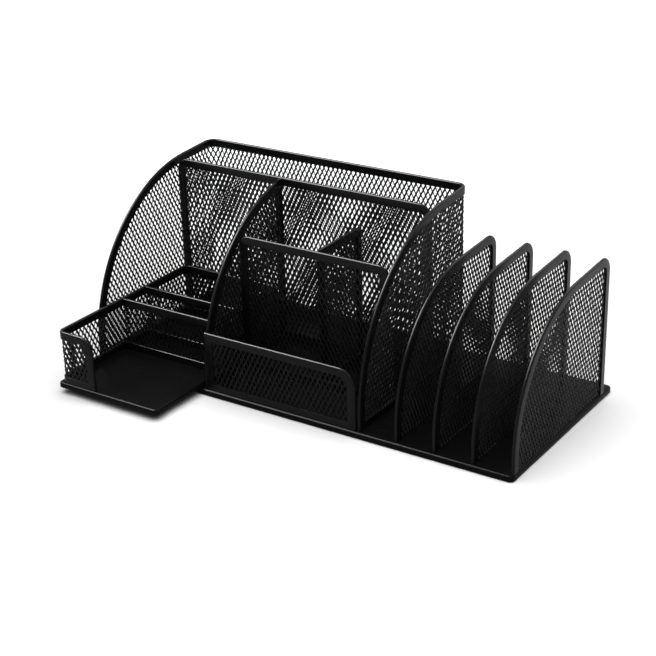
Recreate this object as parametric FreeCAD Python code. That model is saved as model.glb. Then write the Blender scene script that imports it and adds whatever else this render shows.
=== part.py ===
"""Desk organizer of expanded-steel mesh panels in folded rims, with a sliding drawer tray.

Millimetres, +X to the right, +Y to the back, +Z up. The origin is on the desk, under the middle of
the whole organizer as it stands on show, with its drawer out past the base's front edge.
"""
import FreeCAD, Part
import math
import os

# Base plate: a steel sheet turned down all round, on stick-on rubber feet
BASE_LENGTH = 365.0
BASE_DEPTH = 160.6
BASE_EDGE_HEIGHT = 4.5
PLATE_SHEET = 1.0
PLATE_CORNER = 4.0
EDGE_ROUND = 1.5
FOOT_DIAMETER = 14.0
FOOT_INSET = 16.0
FOOT_PROUD = 0.5

# Panels: one mesh sheet each, its edges pinched in a folded steel strip
MESH_SHEET = 0.8
RIM_SHEET = 0.9
RIM_WIDTH = 6.5
FOOT_BAND = 5.5
PANEL_INSET = 1.6
PANEL_END_GAP = 1.3

# Mesh: staggered upright diamonds, drawn coarser than the real expanded sheet
DIAMOND_WIDTH = 23.0
DIAMOND_HEIGHT = 42.0
STRAND_WIDTH = 2.6
SELVEDGE = 1.0
SMALLEST_GAP = 0.12
SMALLEST_EDGE = 0.01

# Main walls: two arched sides and the back between them
WALL_HEIGHT = 137.8
ARCH_FRONT = 2.3
ARCH_RADIUS = 125.0
ARCH_SLOPE = 3.5
BEND_RADIUS = 8.0

# Compartments of the main box, as clear widths between rims
BAY_WIDTH = 101.4
POCKET_WIDTH = 132.9
PEN_POCKET_DEPTH = 45.6
PEN_PANEL_DROP = 2.7
PEN_PANEL_CORNER = 10.0
FRONT_POCKET_DEPTH = 43.8
FRONT_POCKET_HEIGHT = 46.3
FRONT_POCKET_CORNER = 14.0
FRONT_POCKET_GAP = 1.0
CARD_PANEL_HEIGHT = 108.2
CARD_PANEL_CORNER = 8.0
LEFT_CELL_WIDTH = 69.7
SHORT_DIVIDER_RISE = 0.8

# File sorter plates on the right
SORTER_COUNT = 4
SORTER_EDGE_INSET = 0.4
SORTER_RISE = 12.4
SORTER_ARC = 95.0
SORTER_SLOPE = 3.0
SORTER_CORNER = 12.0
SORTER_BACK_GAP = 14.0

# Drawer tray: a plate with mesh walls, open on the right of its front part
DRAWER_PROJECTION = 53.0
DRAWER_LEFT_GAP = 4.4
DRAWER_RIGHT_GAP = 1.2
DRAWER_BACK_GAP = 4.7
DRAWER_LIFT = 0.3
DRAWER_EDGE_HEIGHT = 4.2
DRAWER_LEFT_LEDGE = 3.2
DRAWER_WALL_INSET = 0.8
DRAWER_WALL_HEIGHT = 42.5
DRAWER_BEND_RADIUS = 5.0
NOTE_TRAY_LENGTH = 69.6
MIDDLE_BIN_LENGTH = 25.2
RETURN_WIDTH = 32.3
RETURN_CORNER = 12.0

# Sizes and places that follow from those above
RIM_THICKNESS = MESH_SHEET + 2 * RIM_SHEET
HALF_RIM = RIM_THICKNESS / 2

BASE_LEFT = -BASE_LENGTH / 2
BASE_RIGHT = BASE_LENGTH / 2
BASE_FRONT = (DRAWER_PROJECTION - BASE_DEPTH) / 2
BASE_BACK = BASE_FRONT + BASE_DEPTH
BASE_TOP = FOOT_PROUD + BASE_EDGE_HEIGHT
WALL_TOP = BASE_TOP + WALL_HEIGHT

LEFT_WALL_X = BASE_LEFT + PANEL_INSET + HALF_RIM
DIVIDER_X = LEFT_WALL_X + BAY_WIDTH + RIM_THICKNESS
RIGHT_WALL_X = DIVIDER_X + POCKET_WIDTH + RIM_THICKNESS
LAST_SORTER_X = BASE_RIGHT - SORTER_EDGE_INSET - HALF_RIM
SORTER_PITCH = (LAST_SORTER_X - RIGHT_WALL_X) / SORTER_COUNT
SHORT_DIVIDER_X = DIVIDER_X + LEFT_CELL_WIDTH + RIM_THICKNESS

PANEL_FRONT = BASE_FRONT + ARCH_FRONT
FRONT_POCKET_Y = BASE_FRONT + PANEL_INSET + HALF_RIM
CARD_PANEL_Y = FRONT_POCKET_Y + FRONT_POCKET_DEPTH + RIM_THICKNESS
BACK_WALL_Y = BASE_BACK - PANEL_INSET - HALF_RIM
PEN_PANEL_Y = BACK_WALL_Y - PEN_POCKET_DEPTH - RIM_THICKNESS
SIDE_WALL_END = BACK_WALL_Y - BEND_RADIUS
ARCH_LEAN = math.radians(ARCH_SLOPE)
ARCH_TOP_RUN = SIDE_WALL_END - PANEL_FRONT - ARCH_RADIUS * (1 - math.sin(ARCH_LEAN))
ARCH_RISE = WALL_HEIGHT - ARCH_RADIUS * math.cos(ARCH_LEAN) - ARCH_TOP_RUN * math.tan(ARCH_LEAN)

DRAWER_LEFT = LEFT_WALL_X + HALF_RIM + DRAWER_LEFT_GAP
DRAWER_RIGHT = DIVIDER_X - HALF_RIM - DRAWER_RIGHT_GAP
DRAWER_FRONT = BASE_FRONT - DRAWER_PROJECTION
DRAWER_BACK = PEN_PANEL_Y - HALF_RIM - DRAWER_BACK_GAP
DRAWER_UNDERSIDE = BASE_TOP + DRAWER_LIFT
DRAWER_FLOOR = DRAWER_UNDERSIDE + DRAWER_EDGE_HEIGHT
DRAWER_WALL_TOP = DRAWER_FLOOR + DRAWER_WALL_HEIGHT
DRAWER_SIDE_X = DRAWER_LEFT + DRAWER_LEFT_LEDGE + HALF_RIM
DRAWER_RIGHT_WALL_X = DRAWER_RIGHT - DRAWER_WALL_INSET - HALF_RIM
DRAWER_RETURN_Y = DRAWER_FRONT + DRAWER_WALL_INSET + HALF_RIM
DRAWER_BACK_WALL_Y = DRAWER_BACK - DRAWER_WALL_INSET - HALF_RIM
FRONT_CROSS_Y = DRAWER_RETURN_Y + NOTE_TRAY_LENGTH + RIM_THICKNESS
REAR_CROSS_Y = FRONT_CROSS_Y + MIDDLE_BIN_LENGTH + RIM_THICKNESS


def at(along, height):
    """A point on a panel's own plane, upright through the X axis."""
    return FreeCAD.Vector(along, 0, height)


def straight(first, last):
    return Part.LineSegment(first, last).toShape()


def bend(first, middle, last):
    return Part.Arc(first, middle, last).toShape()


def face_inside(edges):
    return Part.Face(Part.Wire(edges))


def arched_outline(back, radius, rise, lean, corner=0.0, back_rimmed=True):
    """A panel with an upright front, one large arc and, where it reaches that far back, a climbing top."""
    def outline(rim, foot, margin=0.0):
        inset = rim + margin
        reach = radius - inset
        low = BASE_TOP + foot + margin
        end = back - margin - (rim if back_rimmed else 0.0)
        hub = at(PANEL_FRONT + radius, BASE_TOP + rise)

        def on_arc(turn):
            return hub + reach * at(-math.cos(turn), math.sin(turn))

        heel_turn = math.asin(max(low - hub.z, 0.0) / reach)
        top_turn = min(math.pi / 2 - lean, math.acos((hub.x - end) / reach))
        heel = on_arc(heel_turn)
        arc_top = on_arc(top_turn)
        edges = [bend(heel, on_arc((heel_turn + top_turn) / 2), arc_top)]
        if heel.z > low:
            edges.insert(0, straight(at(heel.x, low), heel))
        last = arc_top
        if corner > inset:
            fillet = corner - inset
            pivot = at(end - fillet, 0)
            pivot.z = arc_top.z + (pivot.x - arc_top.x) * math.tan(lean) - fillet / math.cos(lean)
            fillet_start = pivot + fillet * at(-math.sin(lean), math.cos(lean))
            half_turn = (math.pi / 2 + lean) / 2
            fillet_middle = pivot + fillet * at(math.cos(half_turn), math.sin(half_turn))
            last = pivot + at(fillet, 0)
            edges.append(straight(arc_top, fillet_start))
            edges.append(bend(fillet_start, fillet_middle, last))
        elif end > arc_top.x + SMALLEST_EDGE:
            last = at(end, arc_top.z + (end - arc_top.x) * math.tan(lean))
            edges.append(straight(arc_top, last))
        edges.append(straight(last, at(end, low)))
        edges.append(straight(at(end, low), at(heel.x, low)))
        return face_inside(edges)
    return outline


def upright_outline(left, right, bottom, top, left_corner=0.0, right_corner=0.0, sides=(True, True)):
    """A rectangular panel with its top corners square or rounded; sides tells which ends have a rim."""
    def outline(rim, foot, margin=0.0):
        start = left + margin + (rim if sides[0] else 0.0)
        end = right - margin - (rim if sides[1] else 0.0)
        low = bottom + foot + margin
        high = top - rim - margin
        left_round = max(left_corner - rim - margin, 0.0)
        right_round = max(right_corner - rim - margin, 0.0)
        diagonal = 1 - math.sqrt(0.5)
        edges = [straight(at(start, low), at(start, high - left_round))]
        if left_round > 0:
            middle = at(start + left_round * diagonal, high - left_round * diagonal)
            edges.append(bend(at(start, high - left_round), middle, at(start + left_round, high)))
        edges.append(straight(at(start + left_round, high), at(end - right_round, high)))
        if right_round > 0:
            middle = at(end - right_round * diagonal, high - right_round * diagonal)
            edges.append(bend(at(end - right_round, high), middle, at(end, high - right_round)))
        edges.append(straight(at(end, high - right_round), at(end, low)))
        edges.append(straight(at(end, low), at(start, low)))
        return face_inside(edges)
    return outline


def slab(face, thickness):
    """A face on a panel's plane grown to a sheet, half its thickness to each side."""
    lower = face.translated(FreeCAD.Vector(0, -thickness / 2, 0))
    return lower.extrude(FreeCAD.Vector(0, thickness, 0))


def diamond(along, height):
    """One gap of the mesh: a diamond cell less half a strand on every side."""
    half_width = DIAMOND_WIDTH / 2
    half_height = DIAMOND_HEIGHT / 2
    to_side = half_width * half_height / math.hypot(half_width, half_height)
    share = 1 - STRAND_WIDTH / 2 / to_side
    corners = [
        at(along - half_width * share, height),
        at(along, height + half_height * share),
        at(along + half_width * share, height),
        at(along, height - half_height * share),
    ]
    return Part.Face(Part.makePolygon(corners + corners[:1]))


def gaps_in(region):
    """The staggered diamonds over a region, cut off at its edge, without the smallest remnants."""
    box = region.BoundBox
    columns = math.ceil(box.XLength / DIAMOND_WIDTH) + 1
    rows = math.ceil(box.ZLength / DIAMOND_HEIGHT) + 1
    cells = []
    for row in range(-rows, rows + 1):
        stagger = DIAMOND_WIDTH / 2 * (row % 2)
        for column in range(-columns, columns + 1):
            along = box.Center.x + column * DIAMOND_WIDTH + stagger
            height = box.Center.z + row * DIAMOND_HEIGHT / 2
            near_x = abs(along - box.Center.x) < (box.XLength + DIAMOND_WIDTH) / 2
            near_z = abs(height - box.Center.z) < (box.ZLength + DIAMOND_HEIGHT) / 2
            if near_x and near_z:
                cells.append(diamond(along, height))
    smallest = SMALLEST_GAP * cells[0].Area
    cut_cells = region.common(Part.makeCompound(cells))
    return Part.makeCompound([gap for gap in cut_cells.Faces if gap.Area > smallest])


def flat_panel(outline, foot_rimmed=True):
    """A flat mesh sheet and the folded rim that pinches its edges, or a top and a foot rim."""
    foot_fold = RIM_SHEET if foot_rimmed else 0.0
    foot_band = FOOT_BAND if foot_rimmed else 0.0
    sheet = outline(RIM_SHEET, foot_fold)
    window = outline(RIM_WIDTH, foot_band)
    open_part = outline(RIM_WIDTH, foot_band, SELVEDGE)
    mesh = slab(sheet.cut(gaps_in(open_part)).Faces[0], MESH_SHEET)
    bands = outline(0.0, 0.0).cut(window).Faces
    rims = [slab(band, RIM_THICKNESS).cut(slab(sheet, MESH_SHEET)) for band in bands]
    rims.sort(key=lambda rim: -rim.BoundBox.ZMax)
    return [mesh] + rims


def bent_strip(first, last, radius, thickness, low, high):
    """An upright strip between two corners, bent back square at each end about a given radius."""
    half = thickness / 2
    inner = radius - half
    outer = radius + half
    diagonal = math.sqrt(0.5)

    def plan(along, across):
        return FreeCAD.Vector(along, across, low)

    edges = []
    for reach, side in ((outer, half), (inner, -half)):
        left_middle = plan(first + radius - reach * diagonal, -radius + reach * diagonal)
        right_middle = plan(last - radius + reach * diagonal, -radius + reach * diagonal)
        left_end = plan(first + radius - reach, -radius)
        right_end = plan(last - radius + reach, -radius)
        edges.append([
            bend(left_end, left_middle, plan(first + radius, side)),
            straight(plan(first + radius, side), plan(last - radius, side)),
            bend(plan(last - radius, side), right_middle, right_end),
        ])
    left_cap = straight(plan(first + radius - inner, -radius), plan(first + radius - outer, -radius))
    right_cap = straight(plan(last - radius + outer, -radius), plan(last - radius + inner, -radius))
    loop = edges[0] + [right_cap] + edges[1][::-1] + [left_cap]
    return face_inside(loop).extrude(FreeCAD.Vector(0, 0, high - low))


def bent_panel(first, last, radius, low, high):
    """A mesh wall that turns two corners, with its top rim and foot band.

    The sheet is one piece of steel, kept as a flat solid and a solid for each of its two bends.
    """
    sheet = bent_strip(first, last, radius, MESH_SHEET, low + RIM_SHEET, high - RIM_SHEET)
    flat = upright_outline(first + radius, last - radius, low, high, sides=(False, False))
    gaps = [slab(gaps_in(flat(RIM_WIDTH, FOOT_BAND, SELVEDGE)), RIM_THICKNESS)]
    half_chord = radius * math.sqrt(0.5)
    corner = upright_outline(-half_chord, half_chord, low, high, sides=(False, False))
    corner_gaps = slab(gaps_in(corner(RIM_WIDTH, FOOT_BAND, SELVEDGE)), radius)
    for hub, turn in ((first + radius, 45), (last - radius, -45)):
        turned = corner_gaps.translated(FreeCAD.Vector(0, radius, 0))
        turned.rotate(FreeCAD.Vector(0, 0, 0), FreeCAD.Vector(0, 0, 1), turn)
        gaps.append(turned.translated(FreeCAD.Vector(hub, -radius, 0)))
    lattice = sheet.cut(gaps)
    flat_zone = slab(flat(0.0, 0.0), RIM_THICKNESS)
    mesh = Part.makeCompound(lattice.common(flat_zone).Solids + lattice.cut(flat_zone).Solids)
    top_rim = bent_strip(first, last, radius, RIM_THICKNESS, high - RIM_WIDTH, high).cut(sheet)
    foot_rim = bent_strip(first, last, radius, RIM_THICKNESS, low, low + FOOT_BAND).cut(sheet)
    return mesh, top_rim, foot_rim


def turned_down_plate(left, right, front, back, low, high):
    """A sheet with rounded corners whose edge is turned down all round and left hollow below."""
    def block(inset, bottom, top):
        size = FreeCAD.Vector(right - left - 2 * inset, back - front - 2 * inset, top - bottom)
        corner = FreeCAD.Vector(left + inset, front + inset, bottom)
        box = Part.makeBox(size.x, size.y, size.z, corner)
        uprights = [edge for edge in box.Edges if edge.BoundBox.ZLength > size.z / 2]
        return box.makeFillet(PLATE_CORNER - inset, uprights)

    outside = block(0.0, low, high)
    brow = [edge for edge in outside.Edges if edge.BoundBox.ZMin > high - EDGE_ROUND / 2]
    return outside.makeFillet(EDGE_ROUND, brow).cut(block(PLATE_SHEET, low, high - PLATE_SHEET))


def facing_front(shapes, y):
    """Sets panel shapes made across the organizer at their place from front to back."""
    return [shape.translated(FreeCAD.Vector(0, y, 0)) for shape in shapes]


def facing_side(shapes, x):
    """Turns panel shapes made across the organizer to run from front to back, at a given X."""
    turned = []
    for shape in shapes:
        copy = shape.copy()
        copy.rotate(FreeCAD.Vector(0, 0, 0), FreeCAD.Vector(0, 0, 1), 90)
        copy.translate(FreeCAD.Vector(x, 0, 0))
        turned.append(copy)
    return turned


def add_panel(parts, name, shapes):
    """Files a framed panel's mesh and its rim, or its top rim and foot band, as named pieces."""
    parts[name + "_mesh"] = shapes[0]
    if len(shapes) == 2:
        parts[name + "_rim"] = shapes[1]
    else:
        parts[name + "_top_rim"] = shapes[1]
        parts[name + "_foot_rim"] = shapes[2]


def base(parts):
    parts["base_plate"] = turned_down_plate(
        BASE_LEFT, BASE_RIGHT, BASE_FRONT, BASE_BACK, FOOT_PROUD, BASE_TOP)
    feet = []
    for x in (BASE_LEFT + FOOT_INSET, BASE_RIGHT - FOOT_INSET):
        for y in (BASE_FRONT + FOOT_INSET, BASE_BACK - FOOT_INSET):
            under = FreeCAD.Vector(x, y, 0)
            feet.append(Part.makeCylinder(FOOT_DIAMETER / 2, BASE_TOP - PLATE_SHEET, under))
    parts["rubber_feet"] = Part.makeCompound(feet)


def main_box(parts):
    side = flat_panel(arched_outline(
        SIDE_WALL_END, ARCH_RADIUS, ARCH_RISE, ARCH_LEAN, back_rimmed=False))
    add_panel(parts, "left_wall", facing_side(side, LEFT_WALL_X))
    add_panel(parts, "right_wall", facing_side(side, RIGHT_WALL_X))

    back = bent_panel(LEFT_WALL_X, RIGHT_WALL_X, BEND_RADIUS, BASE_TOP, WALL_TOP)
    add_panel(parts, "back_wall", facing_front(back, BACK_WALL_Y))

    pen_left = LEFT_WALL_X + HALF_RIM + PANEL_END_GAP
    pen_right = RIGHT_WALL_X - HALF_RIM - PANEL_END_GAP
    pen = flat_panel(upright_outline(
        pen_left, pen_right, BASE_TOP, WALL_TOP - PEN_PANEL_DROP, PEN_PANEL_CORNER, PEN_PANEL_CORNER))
    add_panel(parts, "pen_panel", facing_front(pen, PEN_PANEL_Y))

    divider = flat_panel(arched_outline(
        PEN_PANEL_Y - HALF_RIM, ARCH_RADIUS, ARCH_RISE, ARCH_LEAN))
    add_panel(parts, "centre_divider", facing_side(divider, DIVIDER_X))


def card_pocket(parts):
    left = DIVIDER_X + HALF_RIM
    right = RIGHT_WALL_X - HALF_RIM
    front = flat_panel(upright_outline(
        left, right - FRONT_POCKET_GAP, BASE_TOP, BASE_TOP + FRONT_POCKET_HEIGHT,
        0.0, FRONT_POCKET_CORNER))
    add_panel(parts, "pocket_front", facing_front(front, FRONT_POCKET_Y))

    card = flat_panel(upright_outline(
        left + PANEL_END_GAP, right - PANEL_END_GAP, BASE_TOP, BASE_TOP + CARD_PANEL_HEIGHT,
        CARD_PANEL_CORNER, CARD_PANEL_CORNER))
    add_panel(parts, "card_panel", facing_front(card, CARD_PANEL_Y))

    short_top = BASE_TOP + CARD_PANEL_HEIGHT + SHORT_DIVIDER_RISE
    short = flat_panel(upright_outline(
        CARD_PANEL_Y + HALF_RIM, PEN_PANEL_Y - HALF_RIM, BASE_TOP, short_top))
    add_panel(parts, "short_divider", facing_side(short, SHORT_DIVIDER_X))


def sorter(parts):
    outline = arched_outline(
        BASE_BACK - SORTER_BACK_GAP, SORTER_ARC, SORTER_RISE, math.radians(SORTER_SLOPE), SORTER_CORNER)
    plate = flat_panel(outline, foot_rimmed=False)
    for number in range(1, SORTER_COUNT + 1):
        x = RIGHT_WALL_X + number * SORTER_PITCH
        add_panel(parts, "sorter_%d" % number, facing_side(plate, x))


def drawer(parts):
    parts["drawer_plate"] = turned_down_plate(
        DRAWER_LEFT, DRAWER_RIGHT, DRAWER_FRONT, DRAWER_BACK, DRAWER_UNDERSIDE, DRAWER_FLOOR)
    low = DRAWER_FLOOR
    high = DRAWER_WALL_TOP
    side = bent_panel(DRAWER_RETURN_Y, DRAWER_BACK_WALL_Y, DRAWER_BEND_RADIUS, low, high)
    add_panel(parts, "drawer_side", facing_side(side, DRAWER_SIDE_X))

    bend_end = DRAWER_SIDE_X + DRAWER_BEND_RADIUS
    right_wall_face = DRAWER_RIGHT_WALL_X - HALF_RIM
    front = flat_panel(upright_outline(
        bend_end, DRAWER_SIDE_X + RETURN_WIDTH, low, high, 0.0, RETURN_CORNER, (False, True)))
    add_panel(parts, "drawer_return", facing_front(front, DRAWER_RETURN_Y))

    rear = flat_panel(upright_outline(bend_end, right_wall_face, low, high, sides=(False, True)))
    add_panel(parts, "drawer_back", facing_front(rear, DRAWER_BACK_WALL_Y))

    right = flat_panel(upright_outline(
        FRONT_CROSS_Y - HALF_RIM, DRAWER_BACK_WALL_Y + HALF_RIM, low, high))
    add_panel(parts, "drawer_right", facing_side(right, DRAWER_RIGHT_WALL_X))

    cross = flat_panel(upright_outline(
        DRAWER_SIDE_X + HALF_RIM, right_wall_face, low, high, sides=(False, False)))
    add_panel(parts, "drawer_front_cross", facing_front(cross, FRONT_CROSS_Y))
    add_panel(parts, "drawer_rear_cross", facing_front(cross, REAR_CROSS_Y))


pieces = {}
base(pieces)
main_box(pieces)
card_pocket(pieces)
sorter(pieces)
drawer(pieces)

os.makedirs("parts", exist_ok=True)
for piece_name, shape in pieces.items():
    shape.exportStep("parts/%s.step" % piece_name)
    print("%-28s %8.1f mm3 %4d faces" % (piece_name, shape.Volume, len(shape.Faces)))
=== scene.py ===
import math

import bmesh
import bpy
from mathutils import Matrix, Vector


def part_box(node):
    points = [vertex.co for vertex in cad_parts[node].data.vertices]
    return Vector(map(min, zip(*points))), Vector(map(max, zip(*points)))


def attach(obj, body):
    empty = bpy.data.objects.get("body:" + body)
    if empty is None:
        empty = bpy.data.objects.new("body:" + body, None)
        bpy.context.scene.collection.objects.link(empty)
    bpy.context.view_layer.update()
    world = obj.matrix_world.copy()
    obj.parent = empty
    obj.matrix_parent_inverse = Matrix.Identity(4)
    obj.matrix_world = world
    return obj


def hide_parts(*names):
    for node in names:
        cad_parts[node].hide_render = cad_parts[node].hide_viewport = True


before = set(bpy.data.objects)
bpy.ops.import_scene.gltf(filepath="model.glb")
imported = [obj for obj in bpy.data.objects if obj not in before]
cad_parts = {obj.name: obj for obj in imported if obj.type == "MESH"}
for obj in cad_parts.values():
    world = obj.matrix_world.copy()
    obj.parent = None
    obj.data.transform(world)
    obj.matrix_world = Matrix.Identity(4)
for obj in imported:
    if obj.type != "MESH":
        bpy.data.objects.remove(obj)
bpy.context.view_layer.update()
scene = bpy.context.scene


# Powder coat: black polyester powder sprayed on the welded steel and baked to a satin skin, with a
# faint orange peel about a millimetre across and slightly uneven gloss. It lies alike on every steel
# part, but its sheen is fitted apart for plates, rims and mesh. The mesh is drawn a little paler, and
# that paler colour is painted sheen for the light caught by its thin strands.
def linear(hex_colour):
    channels = [int(hex_colour[i:i + 2], 16) / 255 for i in (1, 3, 5)]
    curve = [c / 12.92 if c <= 0.04045 else ((c + 0.055) / 1.055) ** 2.4 for c in channels]
    return (*curve, 1.0)


def add_node(tree, kind, settings=None, **links):
    node = tree.nodes.new(kind)
    for name, value in (settings or {}).items():
        if name in node.inputs:
            node.inputs[name].default_value = value
        else:
            setattr(node, name, value)
    for name, source in links.items():
        tree.links.new(source, node.inputs[name.replace("_", " ")])
    return node


def blank_material(name):
    material = bpy.data.materials.new(name)
    material.use_nodes = True
    material.node_tree.nodes.clear()
    return material, material.node_tree


def blend_colours(tree, share, first, last):
    mix = add_node(tree, "ShaderNodeMix", {"data_type": "RGBA"})
    mix.inputs[6].default_value = linear(first)
    mix.inputs[7].default_value = linear(last)
    tree.links.new(share, mix.inputs[0])
    return mix.outputs[2]


def powder_coat(name, dark, pale, gloss, shine):
    drifts_per_metre = 45.0
    peels_per_metre = 900.0
    gloss_spread = 0.06
    material, tree = blank_material(name)
    place = add_node(tree, "ShaderNodeTexCoord").outputs["Object"]
    drift = add_node(
        tree, "ShaderNodeTexNoise", {"Scale": drifts_per_metre, "Detail": 2.0}, Vector=place)
    peel = add_node(
        tree, "ShaderNodeTexNoise", {"Scale": peels_per_metre, "Detail": 2.0}, Vector=place)
    uneven = add_node(
        tree, "ShaderNodeMapRange", {"To Min": gloss - gloss_spread, "To Max": gloss + gloss_spread},
        Value=drift.outputs["Fac"])
    bump = add_node(
        tree, "ShaderNodeBump", {"Strength": 0.1, "Distance": 0.0002}, Height=peel.outputs["Fac"])
    shader = add_node(
        tree, "ShaderNodeBsdfPrincipled", {"Specular IOR Level": shine},
        Base_Color=blend_colours(tree, drift.outputs["Fac"], dark, pale),
        Normal=bump.outputs["Normal"], Roughness=uneven.outputs["Result"])
    add_node(tree, "ShaderNodeOutputMaterial", Surface=shader.outputs["BSDF"])
    return material


plate_coat = powder_coat("powder_coat_plate", "#0a0a0b", "#0e0e0f", 0.26, 0.022)
rim_coat = powder_coat("powder_coat_rim", "#0a0a0b", "#0e0e0f", 0.24, 0.07)
# The mesh coat's paler colours are painted sheen, standing in for light caught by the thin strands.
mesh_coat_painted_sheen = powder_coat("powder_coat_mesh_painted_sheen", "#131314", "#181819", 0.32, 0.08)


def finish_piece(piece, body, slot, material, *nodes):
    piece.data.materials.clear()
    piece.data.materials.append(material)
    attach(piece, body)
    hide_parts(*nodes)


# Base plate: one steel sheet pressed with its edge turned down all round, so that it stands on its
# rubber feet and looks like a thick slab. The corners are drawn round and the brow is a soft bend.
def only(piece):
    bpy.ops.object.select_all(action="DESELECT")
    piece.select_set(True)
    bpy.context.view_layer.objects.active = piece


def start_editing(piece):
    only(piece)
    bpy.ops.object.mode_set(mode="EDIT")
    bpy.ops.mesh.select_all(action="DESELECT")


def stop_editing():
    bpy.ops.object.mode_set(mode="OBJECT")


def pick(piece, kind, wanted):
    bpy.ops.mesh.select_mode(type=kind)
    bpy.ops.mesh.select_all(action="DESELECT")
    mesh = bmesh.from_edit_mesh(piece.data)
    for item in {"VERT": mesh.verts, "EDGE": mesh.edges, "FACE": mesh.faces}[kind]:
        if wanted(item):
            item.select_set(True)
    mesh.select_flush_mode()
    bmesh.update_edit_mesh(piece.data)


def apply_modifier(piece, kind, **settings):
    only(piece)
    modifier = piece.modifiers.new(kind, kind)
    for name, value in settings.items():
        setattr(modifier, name, value)
    bpy.ops.object.modifier_apply(modifier=modifier.name)


def bake_place(piece):
    only(piece)
    bpy.ops.object.transform_apply(location=True, rotation=True, scale=True)


def soften(piece, degrees):
    only(piece)
    bpy.ops.object.shade_smooth_by_angle(angle=math.radians(degrees))


def pressed_plate(name, node):
    corner_radius = 0.004
    brow_radius = 0.0016
    sheet_thickness = 0.001
    edge_break = 0.0003
    low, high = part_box(node)
    bpy.ops.mesh.primitive_cube_add(size=1, location=(low + high) / 2)
    plate = bpy.context.object
    plate.name = name
    plate.scale = high - low
    bake_place(plate)
    start_editing(plate)
    pick(plate, "EDGE", lambda e: abs(e.verts[0].co.z - e.verts[1].co.z) > 0.001)
    bpy.ops.mesh.bevel(offset=corner_radius, segments=8, affect="EDGES")
    pick(plate, "FACE", lambda f: f.normal.z < -0.9)
    bpy.ops.mesh.delete(type="FACE")
    pick(plate, "EDGE", lambda e: min(v.co.z for v in e.verts) > high.z - 1e-5)
    bpy.ops.mesh.bevel(offset=brow_radius, segments=5, affect="EDGES")
    stop_editing()
    apply_modifier(plate, "SOLIDIFY", thickness=sheet_thickness, offset=-1.0)
    apply_modifier(plate, "BEVEL", width=edge_break, segments=2, angle_limit=math.radians(60))
    soften(plate, 40)
    return plate


base_plate = pressed_plate("base_plate_pressed", "base_plate")
finish_piece(base_plate, "organizer", "powder_coated_steel", plate_coat, "base_plate")


# Rubber feet: four die-cut discs of black rubber with a rolled lower edge, stuck to the underside
# of the sheet near its corners. Only a sliver of them shows below the turned-down edge.
def rubber(name):
    material, tree = blank_material(name)
    place = add_node(tree, "ShaderNodeTexCoord").outputs["Object"]
    grain = add_node(tree, "ShaderNodeTexNoise", {"Scale": 1500.0, "Detail": 3.0}, Vector=place)
    bump = add_node(
        tree, "ShaderNodeBump", {"Strength": 0.3, "Distance": 0.0001}, Height=grain.outputs["Fac"])
    shader = add_node(
        tree, "ShaderNodeBsdfPrincipled", {"Roughness": 0.82},
        Base_Color=blend_colours(tree, grain.outputs["Fac"], "#141414", "#1e1e1d"),
        Normal=bump.outputs["Normal"])
    add_node(tree, "ShaderNodeOutputMaterial", Surface=shader.outputs["BSDF"])
    return material


low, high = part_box("rubber_feet")
foot_radius = 0.007
foot_roll = 0.0006
feet = []
for x in (low.x + foot_radius, high.x - foot_radius):
    for y in (low.y + foot_radius, high.y - foot_radius):
        bpy.ops.mesh.primitive_cylinder_add(
            vertices=40, radius=foot_radius, depth=high.z - low.z, location=(x, y, (low.z + high.z) / 2))
        feet.append(bpy.context.object)
only(feet[0])
for foot in feet:
    foot.select_set(True)
bpy.ops.object.join()
rubber_feet = bpy.context.object
rubber_feet.name = "rubber_feet_discs"
bake_place(rubber_feet)
apply_modifier(rubber_feet, "BEVEL", width=foot_roll, segments=3, angle_limit=math.radians(60))
soften(rubber_feet, 40)
finish_piece(rubber_feet, "organizer", "rubber", rubber("foot_rubber"), "rubber_feet")


# Box walls: one long expanded-steel sheet, bent at two rounded corners into both arched sides and
# the back. Its cut edge is pinched in a folded strip that follows the arches and the foot.
RIM_WIDTH = 0.0065
RIM_THICKNESS = 0.0026
FOOT_BAND = 0.0055
SHEET_IN_FOLD = 0.0009
ARCH_STEPS = 28
DOWN = Vector((0, 0, -1))
LEFT = Vector((-1, 0, 0))
RIGHT = Vector((1, 0, 0))


def draw_outline(left, right, bottom, top):
    bpy.ops.mesh.primitive_plane_add(
        size=1, location=((left + right) / 2, 0, (bottom + top) / 2), rotation=(math.pi / 2, 0, 0))
    outline = bpy.context.object
    outline.scale = (right - left, top - bottom, 1)
    bake_place(outline)
    return outline


def round_corner(outline, x, z, run):
    start_editing(outline)
    pick(outline, "VERT", lambda v: (v.co - Vector((x, 0, z))).length < 1e-5)
    bpy.ops.mesh.bevel(offset=run, segments=10, affect="VERTICES", clamp_overlap=False)
    stop_editing()


def outline_sides(outline):
    points = [outline.data.vertices[i].co.copy() for i in outline.data.polygons[0].vertices]
    middle = sum(points, Vector()) / len(points)
    sides = []
    for first, last in zip(points, points[1:] + points[:1]):
        along = (last - first).normalized()
        outward = Vector((along.z, 0, -along.x))
        sides.append((first, outward if outward.dot(first - middle) > 0 else -outward))
    return sides


def cut_away(point, outward):
    bpy.ops.mesh.select_all(action="SELECT")
    bpy.ops.mesh.bisect(plane_co=point, plane_no=outward, clear_outer=True)


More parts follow.
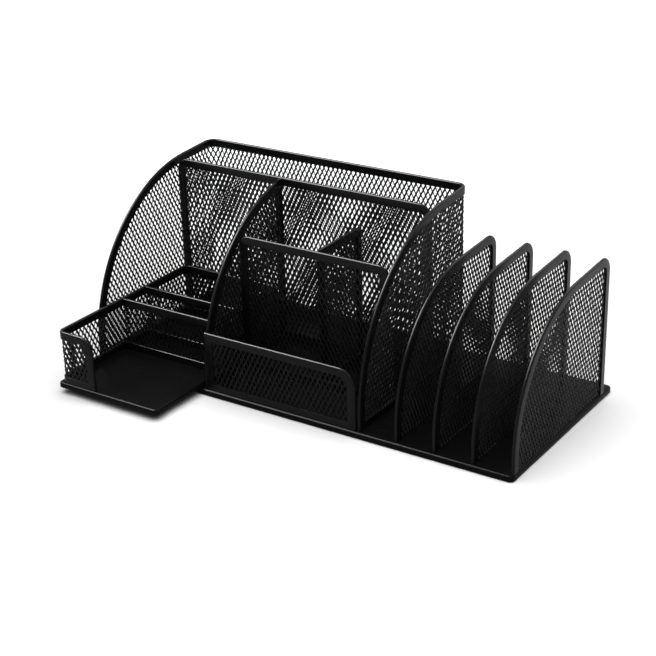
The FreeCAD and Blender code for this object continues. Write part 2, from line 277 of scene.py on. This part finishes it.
def fold_rim(name, outline, cuts, creases=()):
    fold_radius = 0.00125
    edge_break = 0.00025
    sides = outline_sides(outline)
    only(outline)
    bpy.ops.object.duplicate()
    rim = bpy.context.object
    rim.name = name
    start_editing(rim)
    bpy.ops.mesh.select_mode(type="FACE")
    bpy.ops.mesh.select_all(action="SELECT")
    bpy.ops.mesh.inset(thickness=RIM_WIDTH, use_even_offset=True)
    bpy.ops.mesh.delete(type="FACE")
    for point, outward in cuts:
        cut_away(point, outward)
    for x in creases:
        bpy.ops.mesh.select_all(action="SELECT")
        bpy.ops.mesh.bisect(plane_co=(x, 0, 0), plane_no=(1, 0, 0))
    stop_editing()
    apply_modifier(rim, "SOLIDIFY", thickness=RIM_THICKNESS, offset=0.0)

    def on_fold(vertex):
        return any(abs((vertex.co - point).dot(outward)) < 2e-6 for point, outward in sides)

    start_editing(rim)
    pick(rim, "EDGE", lambda e: abs(e.verts[0].co.y - e.verts[1].co.y) < 1e-6
         and on_fold(e.verts[0]) and on_fold(e.verts[1]) and e.calc_face_angle(0.0) > 1.0)
    bpy.ops.mesh.bevel(offset=fold_radius, segments=5, affect="EDGES")
    stop_editing()
    apply_modifier(rim, "BEVEL", width=edge_break, segments=1, angle_limit=math.radians(70))
    return rim


def stretch_mesh(name, outline, cuts, cell_width=0.0042, cell_height=0.0080, strand=0.00128):
    lean = 0.0005
    unevenness = 0.0003
    strand_thickness = 0.00035
    start = sum(map(ord, name))
    sides = outline_sides(outline)
    corner_low = Vector([min(point[i] for point, outward in sides) for i in range(3)])
    corner_high = Vector([max(point[i] for point, outward in sides) for i in range(3)])
    size = corner_high - corner_low
    count = math.ceil(size.x / cell_width + size.z / cell_height) + 6
    bpy.ops.mesh.primitive_grid_add(
        x_subdivisions=count, y_subdivisions=count, size=count, rotation=(0, 0, math.pi / 4))
    sheet = bpy.context.object
    sheet.name = name
    bake_place(sheet)
    sheet.scale = (cell_width / math.sqrt(2), cell_height / math.sqrt(2), 1)
    bake_place(sheet)
    sheet.rotation_euler = (math.pi / 2, math.radians(start % 5 - 2) * 0.4, 0)
    sheet.location = (corner_low + corner_high) / 2
    sheet.location.x += start % 7 / 7 * cell_width
    sheet.location.z += start % 3 / 3 * cell_height
    bake_place(sheet)
    start_editing(sheet)
    bpy.ops.mesh.select_all(action="SELECT")
    bpy.ops.transform.vertex_random(offset=unevenness, seed=start)
    for point, outward in sides:
        cut_away(point - outward * SHEET_IN_FOLD, outward)
    for point, outward in cuts:
        cut_away(point, outward)
    whole = cell_width * cell_height / 2
    pick(sheet, "FACE", lambda f: f.calc_area() > 0.3 * whole)
    bpy.ops.mesh.inset(thickness=strand / 2, use_individual=True, use_even_offset=True)
    mesh = bmesh.from_edit_mesh(sheet.data)
    mesh.verts.index_update()
    upper = set()
    lower = set()
    for face in mesh.faces:
        if face.select:
            heights = [v.co.z for v in face.verts]
            upper.update(v.index for v in face.verts if v.co.z > max(heights) - 1e-5)
            lower.update(v.index for v in face.verts if v.co.z < min(heights) + 1e-5)
    bpy.ops.mesh.delete(type="FACE")
    pick(sheet, "VERT", lambda v: v.index in upper)
    bpy.ops.transform.translate(value=(0, lean, 0))
    pick(sheet, "VERT", lambda v: v.index in lower)
    bpy.ops.transform.translate(value=(0, -lean, 0))
    stop_editing()
    apply_modifier(sheet, "SOLIDIFY", thickness=strand_thickness, offset=0.0)
    return sheet


def wrap_corners(piece, half_flat, radius):
    for vertex in piece.data.vertices:
        past = abs(vertex.co.x) - half_flat
        if past > 0:
            turn = min(past / radius, math.pi / 2)
            reach = radius + vertex.co.y
            vertex.co.x = math.copysign(half_flat + reach * math.sin(turn), vertex.co.x)
            vertex.co.y = reach * math.cos(turn) - radius - max(past - radius * math.pi / 2, 0.0)


def corner_creases(half_flat, radius):
    steps = [half_flat + radius * math.pi / 2 * step / 8 for step in range(9)]
    return steps + [-x for x in steps]


def set_panel(rim, mesh, place, turn, body, rim_nodes, mesh_nodes):
    for piece in (rim, mesh):
        piece.rotation_euler = (0, 0, turn)
        piece.location = place
        bake_place(piece)
    soften(rim, 35)
    finish_piece(rim, body, "powder_coated_steel", rim_coat, *rim_nodes)
    finish_piece(mesh, body, "powder_coated_steel", mesh_coat_painted_sheen, *mesh_nodes)


ARCH_RADIUS = 0.125
ARCH_SLOPE = math.radians(3.5)
CORNER_RADIUS = 0.008
SIDEWAYS = math.pi / 2

side_low, side_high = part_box("left_wall_rim")
right_low, right_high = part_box("right_wall_rim")
back_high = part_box("back_wall_top_rim")[1]
base_top = side_low.z
box_left = (side_low.x + side_high.x) / 2
box_right = (right_low.x + right_high.x) / 2
side_length = side_high.y - side_low.y
half_back = (box_right - box_left) / 2 - CORNER_RADIUS
corner_end = half_back + CORNER_RADIUS * math.pi / 2
half_length = corner_end + side_length
arch_run = ARCH_RADIUS / math.tan((math.pi / 2 + ARCH_SLOPE) / 2)
arch_brow = back_high.z - side_length * math.tan(ARCH_SLOPE)
foot_line = base_top - (RIM_WIDTH - FOOT_BAND)
foot_cut = (Vector((0, 0, base_top)), DOWN)

wall_outline = draw_outline(-half_length, half_length, foot_line, back_high.z)
start_editing(wall_outline)
for x in (-corner_end, corner_end):
    bpy.ops.mesh.select_all(action="SELECT")
    bpy.ops.mesh.bisect(plane_co=(x, 0, 0), plane_no=(1, 0, 0))
pick(wall_outline, "VERT", lambda v: abs(v.co.x) > half_length - 1e-5 and v.co.z > base_top)
bpy.ops.transform.translate(value=(0, 0, arch_brow - back_high.z))
bpy.ops.mesh.bevel(offset=arch_run, segments=ARCH_STEPS, affect="VERTICES", clamp_overlap=False)
bpy.ops.mesh.select_mode(type="FACE")
bpy.ops.mesh.select_all(action="SELECT")
bpy.ops.mesh.dissolve_limited(angle_limit=math.radians(0.2))
stop_editing()
wall_rim = fold_rim("wall_rim", wall_outline, [foot_cut], corner_creases(half_back, CORNER_RADIUS))
wall_mesh = stretch_mesh("wall_mesh", wall_outline, [foot_cut])
wrap_corners(wall_rim, half_back, CORNER_RADIUS)
wrap_corners(wall_mesh, half_back, CORNER_RADIUS)
set_panel(
    wall_rim, wall_mesh,
    ((box_left + box_right) / 2, back_high.y - RIM_THICKNESS / 2, 0), 0.0, "organizer",
    ("left_wall_rim", "right_wall_rim", "back_wall_top_rim", "back_wall_foot_rim"),
    ("left_wall_mesh", "right_wall_mesh", "back_wall_mesh"))
bpy.data.objects.remove(wall_outline)


# Pen panel: the flat sheet across the box that closes off the pen pocket in front of the back wall.
# Its rim runs all round with the top corners bent round, and its ends are welded to the side walls.
def framed_panel(name, outline, cuts, place, turn, body, **stretch):
    rim = fold_rim(name + "_frame", outline, cuts)
    mesh = stretch_mesh(name + "_sheet", outline, cuts, **stretch)
    rims = [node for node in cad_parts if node.startswith(name) and node.endswith("rim")]
    set_panel(rim, mesh, place, turn, body, rims, [name + "_mesh"])
    bpy.data.objects.remove(outline)


def middle_of(node):
    low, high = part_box(node)
    return (low + high) / 2


pen_corner = 0.010
low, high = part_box("pen_panel_rim")
outline = draw_outline(low.x, high.x, foot_line, high.z)
round_corner(outline, low.x, high.z, pen_corner)
round_corner(outline, high.x, high.z, pen_corner)
framed_panel(
    "pen_panel", outline, [foot_cut], (0, middle_of("pen_panel_rim").y, 0), 0.0, "organizer",
    cell_height=0.0086, strand=0.0012)


# Centre divider: a third arched sheet between the drawer bay and the pockets, cut from the same arch
# as the side walls and ending where it meets the pen panel.
def draw_arch(front, back, bottom, heel, radius, slope):
    run = radius / math.tan((math.pi / 2 + slope) / 2)
    brow = heel + run
    top = brow + (back - front) * math.tan(slope)
    outline = draw_outline(front, back, bottom, top)
    start_editing(outline)
    pick(outline, "VERT", lambda v: v.co.x < front + 1e-5 and v.co.z > top - 1e-5)
    bpy.ops.transform.translate(value=(0, 0, brow - top))
    bpy.ops.mesh.bevel(offset=run, segments=ARCH_STEPS, affect="VERTICES", clamp_overlap=False)
    stop_editing()
    return outline, top


SIDE_CELL_WIDTH = 0.0039

low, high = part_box("centre_divider_rim")
outline = draw_arch(
    low.y, side_high.y, foot_line, arch_brow - arch_run, ARCH_RADIUS, ARCH_SLOPE)[0]
start_editing(outline)
cut_away(Vector((high.y, 0, 0)), RIGHT)
stop_editing()
framed_panel(
    "centre_divider", outline, [foot_cut], (middle_of("centre_divider_rim").x, 0, 0), SIDEWAYS,
    "organizer", cell_width=SIDE_CELL_WIDTH)


# Pocket front: the low sheet along the front edge that holds note blocks in. Its right top corner is
# bent in a wide round where the rim turns down beside the right side wall.
pocket_corner = 0.014
low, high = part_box("pocket_front_rim")
outline = draw_outline(low.x, high.x, foot_line, high.z)
round_corner(outline, high.x, high.z, pocket_corner)
framed_panel(
    "pocket_front", outline, [foot_cut], (0, middle_of("pocket_front_rim").y, 0), 0.0, "organizer",
    strand=0.0009)


# Card panel: the taller sheet behind the front pocket, welded between the centre divider and the
# right side wall, with small rounds at its top corners.
card_corner = 0.008
low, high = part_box("card_panel_rim")
outline = draw_outline(low.x, high.x, foot_line, high.z)
round_corner(outline, low.x, high.z, card_corner)
round_corner(outline, high.x, high.z, card_corner)
framed_panel(
    "card_panel", outline, [foot_cut], (0, middle_of("card_panel_rim").y, 0), 0.0, "organizer",
    cell_height=0.0083, strand=0.0010)


# Short divider: the square sheet that parts the space behind the card panel in two cells. It stands
# from the card panel back to the pen panel and rises a hair above the card panel's top.
low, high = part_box("short_divider_rim")
outline = draw_outline(low.y, high.y, foot_line, high.z)
framed_panel(
    "short_divider", outline, [foot_cut], (middle_of("short_divider_rim").x, 0, 0), SIDEWAYS,
    "organizer", cell_width=SIDE_CELL_WIDTH)


# Sorter plates: four equal arched sheets that stand free on the right of the base. Their rim comes
# up the front, over the arch and down the back, and the sheet's foot is welded to the base.
SORTER_ARC = 0.095
SORTER_HEEL = 0.0124
SORTER_SLOPE = math.radians(3.0)
SORTER_CORNER = 0.012

for number in range(1, 5):
    name = "sorter_%d" % number
    low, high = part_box(name + "_rim")
    outline, top = draw_arch(
        low.y, high.y, base_top - 2 * RIM_WIDTH, base_top + SORTER_HEEL, SORTER_ARC, SORTER_SLOPE)
    run = SORTER_CORNER / math.tan((math.pi / 2 - SORTER_SLOPE) / 2)
    round_corner(outline, high.y, top, run)
    framed_panel(
        name, outline, [foot_cut], (middle_of(name + "_rim").x, 0, 0), SIDEWAYS, "organizer",
        cell_width=SIDE_CELL_WIDTH, strand=0.0013)


# Drawer plate: a smaller pressed sheet like the base, which slides on the base plate and carries the
# drawer's mesh walls.
drawer_plate = pressed_plate("drawer_plate_pressed", "drawer_plate")
finish_piece(drawer_plate, "drawer", "powder_coated_steel", plate_coat, "drawer_plate")


# Drawer wall: one sheet bent at two corners into the short front return, the left side and the back
# of the drawer, with a rim along its top, its foot and both of its ends.
DRAWER_CORNER = 0.005
RETURN_CORNER = 0.012

low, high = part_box("drawer_side_top_rim")
drawer_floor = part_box("drawer_side_foot_rim")[0].z
drawer_foot = drawer_floor - (RIM_WIDTH - FOOT_BAND)
drawer_cut = (Vector((0, 0, drawer_floor)), DOWN)
side_x = low.x + RIM_THICKNESS / 2
half_side = (high.y - low.y - RIM_THICKNESS) / 2 - DRAWER_CORNER
side_end = half_side + DRAWER_CORNER * math.pi / 2
return_end = -side_end - (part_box("drawer_return_rim")[1].x - side_x - DRAWER_CORNER)
back_end = side_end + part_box("drawer_back_rim")[1].x - side_x - DRAWER_CORNER
outline = draw_outline(return_end, back_end, drawer_foot, high.z)
round_corner(outline, return_end, high.z, RETURN_CORNER)
drawer_rim = fold_rim(
    "drawer_wall_rim", outline, [drawer_cut], corner_creases(half_side, DRAWER_CORNER))
drawer_mesh = stretch_mesh("drawer_wall_mesh", outline, [drawer_cut])
wrap_corners(drawer_rim, half_side, DRAWER_CORNER)
wrap_corners(drawer_mesh, half_side, DRAWER_CORNER)
set_panel(
    drawer_rim, drawer_mesh, (side_x, (low.y + high.y) / 2, 0), SIDEWAYS, "drawer",
    ("drawer_return_rim", "drawer_side_top_rim", "drawer_side_foot_rim", "drawer_back_rim"),
    ("drawer_return_mesh", "drawer_side_mesh", "drawer_back_mesh"))
bpy.data.objects.remove(outline)


# Drawer right wall: a flat sheet along the rear part of the drawer only, so that the front part is
# open to the right and a note block can be taken out sideways.
low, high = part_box("drawer_right_rim")
outline = draw_outline(low.y, high.y, drawer_foot, high.z)
framed_panel(
    "drawer_right", outline, [drawer_cut], (middle_of("drawer_right_rim").x, 0, 0), SIDEWAYS, "drawer")


# Cross walls: two equal sheets across the drawer that part off its middle and rear bins. Each has a
# rim along its top and a band along its foot, and its ends are welded to the drawer's side walls.
for name in ("drawer_front_cross", "drawer_rear_cross"):
    low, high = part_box(name + "_top_rim")
    outline = draw_outline(low.x - 2 * RIM_WIDTH, high.x + 2 * RIM_WIDTH, drawer_foot, high.z)
    framed_panel(
        name, outline, [drawer_cut, (low.copy(), LEFT), (high.copy(), RIGHT)],
        (0, middle_of(name + "_top_rim").y, 0), 0.0, "drawer", strand=0.0008)


# Floor, light and camera: a pale studio sweep seen from the front right and a little above. It is white
# to the camera and in reflections. One broad lamp lights the piece, and four cards only draw the
# highlight lines along its folds.
def backdrop_rays(tree):
    path = add_node(tree, "ShaderNodeLightPath")
    seen = path.outputs["Is Camera Ray"]
    for kind in ("Is Glossy Ray", "Is Transmission Ray"):
        either = add_node(tree, "ShaderNodeMath", {"operation": "MAXIMUM"})
        tree.links.new(seen, either.inputs[0])
        tree.links.new(path.outputs[kind], either.inputs[1])
        seen = either.outputs["Value"]
    return seen


def studio_floor():
    material, tree = blank_material("studio_floor")
    place = add_node(tree, "ShaderNodeTexCoord").outputs["Object"]
    cloud = add_node(tree, "ShaderNodeTexNoise", {"Scale": 3.0, "Detail": 1.0}, Vector=place)
    reach = add_node(tree, "ShaderNodeVectorMath", {"operation": "LENGTH"}, Vector=place)
    glow = add_node(
        tree, "ShaderNodeMapRange", {"From Min": 0.26, "From Max": 0.9}, Value=reach.outputs["Value"])
    lift = add_node(tree, "ShaderNodeMath", {"operation": "MULTIPLY"})
    tree.links.new(glow.outputs["Result"], lift.inputs[0])
    tree.links.new(backdrop_rays(tree), lift.inputs[1])
    paper = add_node(
        tree, "ShaderNodeBsdfPrincipled",
        {"Roughness": 0.9, "Specular IOR Level": 0.0, "Emission Color": (1, 1, 1, 1)},
        Base_Color=blend_colours(tree, cloud.outputs["Fac"], "#fafafa", "#fdfdfd"),
        Emission_Strength=lift.outputs["Value"])
    add_node(tree, "ShaderNodeOutputMaterial", Surface=paper.outputs["BSDF"])
    return material


bpy.ops.mesh.primitive_plane_add(size=12, location=(0, 0, 0))
floor = bpy.context.object
floor.name = "studio_floor"
floor.data.materials.append(studio_floor())

world = bpy.data.worlds.new("studio")
scene.world = world
world.use_nodes = True
world.node_tree.nodes.clear()
glow = add_node(
    world.node_tree, "ShaderNodeMapRange", {"To Min": 0.09, "To Max": 1.0},
    Value=backdrop_rays(world.node_tree))
air = add_node(
    world.node_tree, "ShaderNodeBackground", {"Color": (1, 1, 1, 1)}, Strength=glow.outputs["Result"])
add_node(world.node_tree, "ShaderNodeOutputWorld", Surface=air.outputs["Background"])


def soft_light(name, place, aim, width, height, watts, gloss_only=False):
    lamp = bpy.data.lights.new(name, "AREA")
    lamp.shape = "RECTANGLE"
    lamp.size = width
    lamp.size_y = height
    lamp.energy = watts
    light = bpy.data.objects.new(name, lamp)
    scene.collection.objects.link(light)
    light.location = place
    light.visible_diffuse = not gloss_only
    light.rotation_euler = (Vector(aim) - Vector(place)).to_track_quat("-Z", "Y").to_euler()


soft_light("top_light", (0.2, -0.1, 1.5), (0, 0, 0.05), 2.6, 2.6, 50)
soft_light("key_card", (-0.82, -0.45, 1.28), (0, 0, 0.05), 1.0, 1.0, 240, True)
soft_light("left_card", (-1.2, -0.1, 0.45), (0, 0, 0.1), 1.0, 0.8, 3, True)
soft_light("back_card", (0.9, 1.2, 0.6), (0, 0, 0.1), 1.0, 0.8, 4, True)
soft_light("rear_card", (0.15, 1.05, 1.1), (0, 0, 0.05), 0.9, 0.6, 10, True)

camera = bpy.data.objects.new("camera", bpy.data.cameras.new("camera"))
scene.collection.objects.link(camera)
camera.data.sensor_width = 36.0
camera.data.lens = 84.48
camera_place = (0.5817, -0.8584, 0.5162)
degrees_right = 34.06
degrees_down = 24.13
degrees_rolled = -1.55
turn = Matrix.Rotation(math.radians(degrees_right), 4, "Z")
tip = Matrix.Rotation(math.radians(90 - degrees_down), 4, "X")
roll = Matrix.Rotation(math.radians(degrees_rolled), 4, "Z")
camera.matrix_world = Matrix.Translation(camera_place) @ turn @ tip @ roll
scene.camera = camera
scene.view_settings.view_transform = "Standard"
